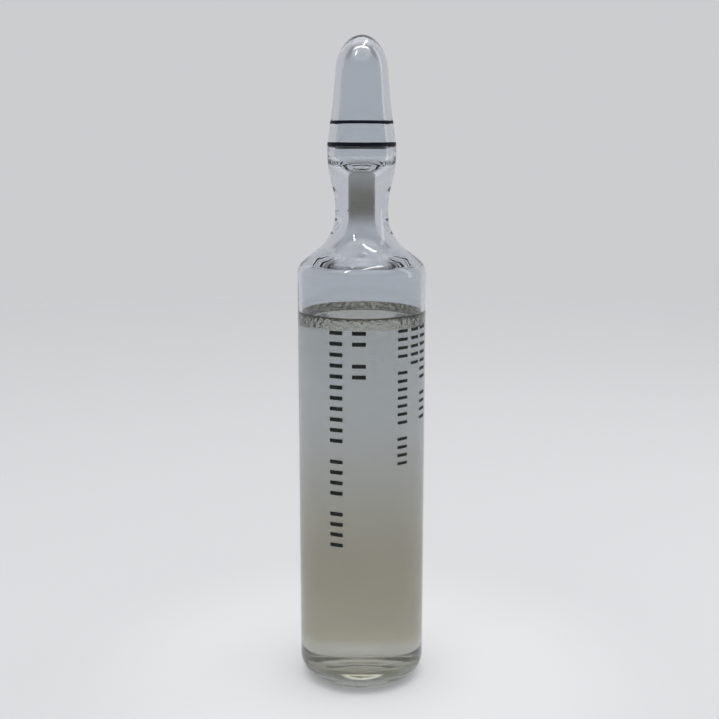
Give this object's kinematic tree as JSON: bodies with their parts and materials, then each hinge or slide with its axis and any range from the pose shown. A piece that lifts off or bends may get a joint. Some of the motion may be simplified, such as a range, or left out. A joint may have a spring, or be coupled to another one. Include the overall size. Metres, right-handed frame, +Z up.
{
  "type": "glass ampoule",
  "caption": "Sealed glass ampoule of clear liquid, with two code rings above a scored neck that is snapped to open it.",
  "frame": {"origin": "on the axis, in the plane of the foot's standing ring", "axes": "+Z up along the axis, from the foot to the sealed tip; the printed side faces -Y"},
  "size_m": [0.0178, 0.0178, 0.0904],
  "materials": {
    "clear_glass": "polished",
    "clear_liquid": "polished",
    "code_enamel": "satin",
    "print_enamel": "satin"
  },
  "bodies": {
    "root": {"glass_shell": "clear_glass", "liquid_fill": "clear_liquid", "upper_code_ring": "code_enamel", "lower_code_ring": "code_enamel", "print_strokes": "print_enamel"}
  },
  "joints": []
}
